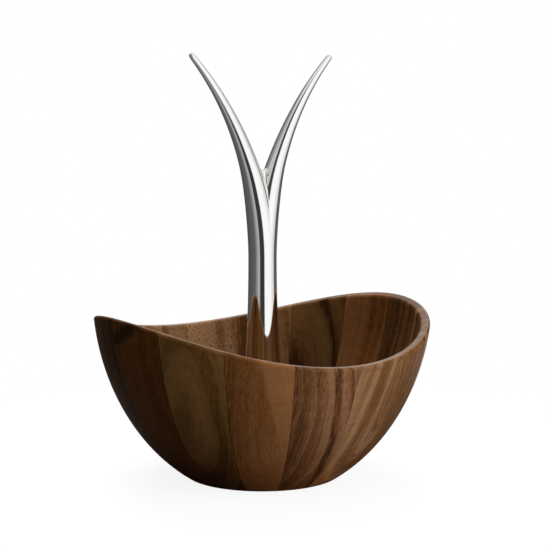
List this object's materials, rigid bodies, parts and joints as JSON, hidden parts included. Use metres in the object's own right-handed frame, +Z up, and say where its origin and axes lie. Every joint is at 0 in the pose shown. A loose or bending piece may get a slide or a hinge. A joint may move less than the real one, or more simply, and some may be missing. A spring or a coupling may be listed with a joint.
{
  "type": "chip and dip server",
  "caption": "Round turned wooden bowl of glued staves with a saddle-shaped rim, a dip dish at its centre and a polished metal carrying handle that forks into two curved prongs.",
  "frame": {"origin": "centre of the flat underside, on the handle's axis, in the plane of the table", "axes": "+Z up along the handle's stem; +X towards one high end of the rim and one prong; +Y across, towards a low side of the rim"},
  "size_m": [0.3038, 0.2934, 0.3785],
  "materials": {
    "bowl_wood": "oiled satin, dark brown with varied grain",
    "polished_alloy": "mirror polished",
    "silicone": "matt",
    "steel": "plain stainless"
  },
  "bodies": {
    "root": {"bowl_stave_01": "bowl_wood", "bowl_stave_02": "bowl_wood", "bowl_stave_03": "bowl_wood", "bowl_stave_04": "bowl_wood", "bowl_stave_05": "bowl_wood", "bowl_stave_06": "bowl_wood", "bowl_stave_07": "bowl_wood", "bowl_stave_08": "bowl_wood", "bowl_stave_09": "bowl_wood", "bowl_stave_10": "bowl_wood", "bowl_stave_11": "bowl_wood", "bowl_stave_12": "bowl_wood", "bowl_stave_13": "bowl_wood", "bowl_stave_14": "bowl_wood", "bowl_stave_15": "bowl_wood", "bowl_stave_16": "bowl_wood", "bowl_base": "bowl_wood", "dish_pad": "silicone", "foot_gasket": "silicone", "dip_dish": "polished_alloy", "handle": "polished_alloy", "locating_pin": "steel", "handle_screw": "steel", "spring_washer": "steel", "flat_washer": "steel"}
  },
  "joints": []
}
